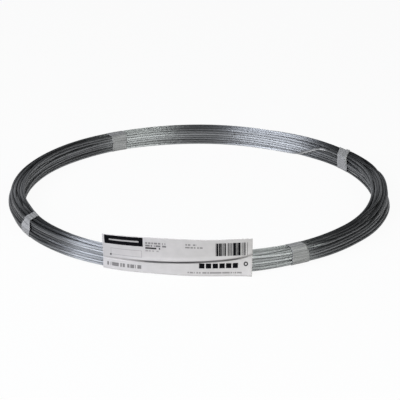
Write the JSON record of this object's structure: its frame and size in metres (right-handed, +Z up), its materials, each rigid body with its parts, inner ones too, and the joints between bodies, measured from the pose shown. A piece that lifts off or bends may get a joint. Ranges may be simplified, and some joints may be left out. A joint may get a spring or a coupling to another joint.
{
  "type": "coil of wire rod",
  "caption": "Flat-lying ring-shaped hand coil of galvanised steel wire, its turns packed into a compact bundle, held by tape wraps, with a folded paper label.",
  "frame": {"origin": "on the floor, on the coil's own axis, at the middle of its footprint", "axes": "+Z up along the coil's axis, which is its shortest extent; the label is on the -Y side"},
  "size_m": [0.543, 0.5477, 0.052],
  "materials": {
    "galvanised_wire": "galvanised, satin, with faint mottling",
    "tape": "milky strapping tape, slightly see-through",
    "label_paper": "uncoated white paper"
  },
  "bodies": {
    "root": {"wire_coil": "galvanised_wire", "tape_back_right": "tape", "tape_back_left": "tape", "tape_front_left": "tape", "tape_front_right": "tape", "paper_label": "label_paper"}
  },
  "joints": []
}
